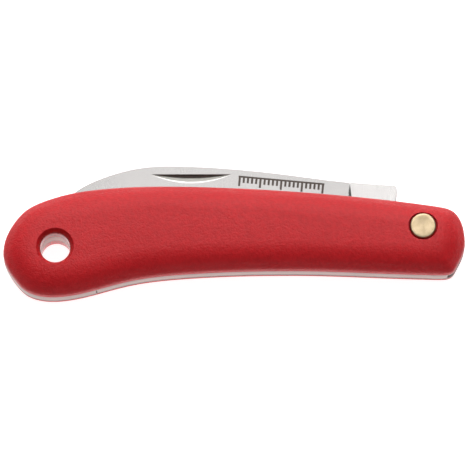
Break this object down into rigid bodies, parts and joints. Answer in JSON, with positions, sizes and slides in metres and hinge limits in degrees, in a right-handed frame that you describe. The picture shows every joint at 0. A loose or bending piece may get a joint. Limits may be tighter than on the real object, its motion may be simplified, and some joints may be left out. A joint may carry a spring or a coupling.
{
  "type": "folding grafting knife",
  "caption": "Folding gardener's grafting knife with a bulbous red moulded handle, steel liners and back spring, a straight-edged blade, a brass pivot rivet and a lanyard hole.",
  "frame": {"origin": "centre of the closed knife's box at the surface it lies on", "axes": "+X along the handle towards the pivot end, +Y towards the closed blade's spine, +Z out of the front face"},
  "size_m": [0.11, 0.0328, 0.0132],
  "materials": {
    "scale_nylon": "fine moulded grain, satin",
    "blade_steel": "satin ground",
    "liner_steel": "blanked, edges linished",
    "spring_steel": "linished back",
    "pin_steel": "drawn wire",
    "brass": "spun head, satin"
  },
  "bodies": {
    "handle": {"front_scale": "scale_nylon", "rear_scale": "scale_nylon", "front_liner": "liner_steel", "rear_liner": "liner_steel", "tail_spacer": "liner_steel", "spring_pin": "pin_steel", "tail_pin": "pin_steel", "spacer_pins": "pin_steel", "front_scale_pins": "pin_steel", "rear_scale_pins": "pin_steel", "front_washer": "brass", "rear_washer": "brass", "pivot_rivet": "brass", "pivot_burr": "brass"},
    "blade": {"blade": "blade_steel"},
    "spring": {"back_spring": "spring_steel"}
  },
  "joints": [
    {"name": "blade_pivot", "type": "hinge", "parent": "handle", "child": "blade", "pos_m": [0.0449, 0, 0.0066], "axis": [0, 0, -1], "range_deg": [0, 180]},
    {"name": "spring_flex", "type": "hinge", "parent": "handle", "child": "spring", "pos_m": [0.002, -0.0075, 0.0066], "axis": [0, 0, -1], "range_deg": [0, 0.6], "stiffness_Nm_per_rad": 5}
  ]
}
